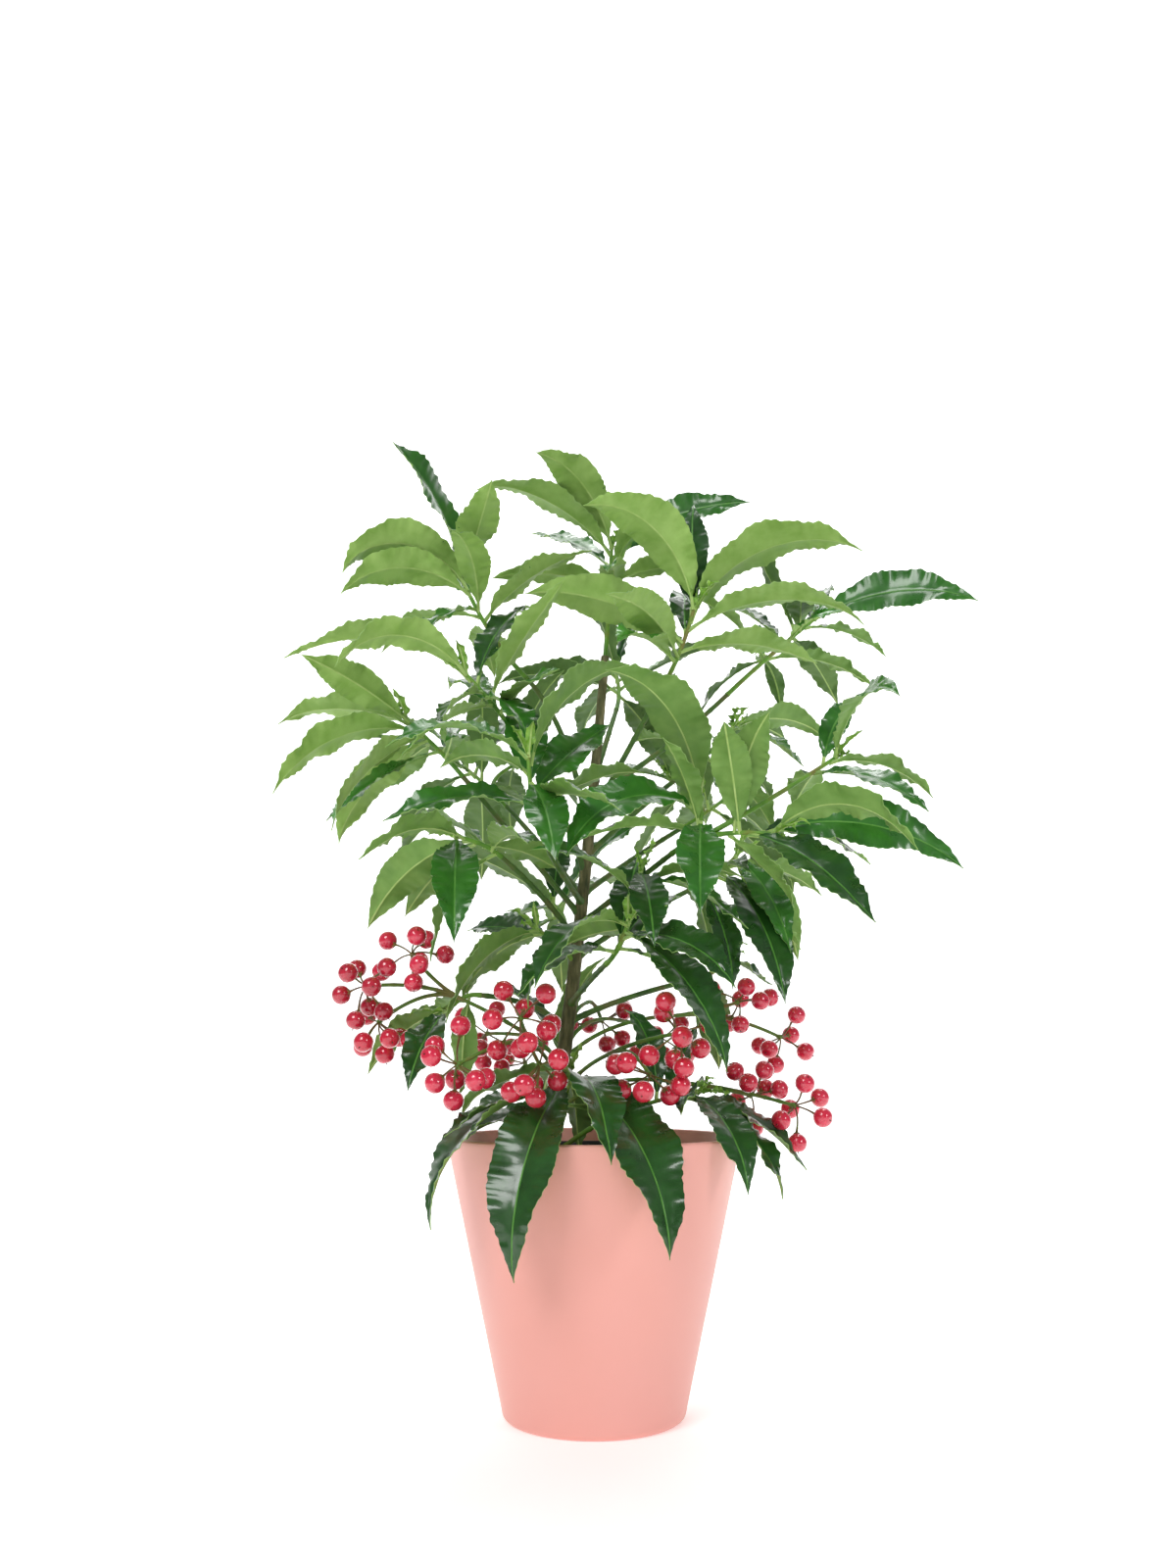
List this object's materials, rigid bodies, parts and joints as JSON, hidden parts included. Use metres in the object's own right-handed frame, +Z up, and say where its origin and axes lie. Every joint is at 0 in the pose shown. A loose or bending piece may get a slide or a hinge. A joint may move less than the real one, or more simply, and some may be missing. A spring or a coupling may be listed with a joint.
{
  "type": "potted ardisia",
  "caption": "Small evergreen coral ardisia shrub with long leathery leaves and hanging red berries, standing in a plain salmon planter.",
  "frame": {"origin": "centre of the planter's flat underside", "axes": "+Z up, -Y towards the front of the plant as pictured, +X to its right"},
  "size_m": [0.3361, 0.2544, 0.4252],
  "materials": {
    "planter": "satin moulded plastic, salmon",
    "nursery_pot": "thin dark recycled plastic, matte",
    "soil": "loose dark potting mix",
    "bark": "thin grey-brown bark, green on young wood",
    "leaves": "leathery, glossy above and matte below",
    "berries": "smooth glossy skin"
  },
  "bodies": {
    "root": {"planter": "planter", "nursery_pot": "nursery_pot", "soil": "soil", "trunk": "bark", "bough_upper_left": "bark", "bough_left": "bark", "bough_left_inner": "bark", "bough_left_low": "bark", "bough_front_left": "bark", "bough_upper_right": "bark", "bough_far_right": "bark", "bough_right_mid": "bark", "bough_right_front": "bark", "bough_right_low": "bark", "bough_centre_low": "bark", "bough_low_left": "bark", "bough_back_high": "bark", "bough_back_left": "bark", "bough_back_right": "bark", "bough_back_low": "bark", "bough_low_right": "bark", "leaves_leader": "leaves", "leaves_upper_left": "leaves", "leaves_left_inner": "leaves", "leaves_left": "leaves", "leaves_left_low": "leaves", "leaves_front_left": "leaves", "leaves_upper_right": "leaves", "leaves_far_right": "leaves", "leaves_right_mid": "leaves", "leaves_right_front": "leaves", "leaves_right_low": "leaves", "leaves_centre_low": "leaves", "leaves_left_fall": "leaves", "leaves_pot_front": "leaves", "leaves_right_foot": "leaves", "leaves_left_foot": "leaves", "leaves_back_high": "leaves", "leaves_back_left": "leaves", "leaves_back_right": "leaves", "leaves_back_low": "leaves", "leaves_back_foot": "leaves", "leaves_low_right": "leaves", "berries_left": "berries", "berries_front": "berries", "berries_middle": "berries", "berries_behind": "berries", "berries_right": "berries", "berries_right_low": "berries", "berries_back_left": "berries", "berries_back_right": "berries"}
  },
  "joints": []
}
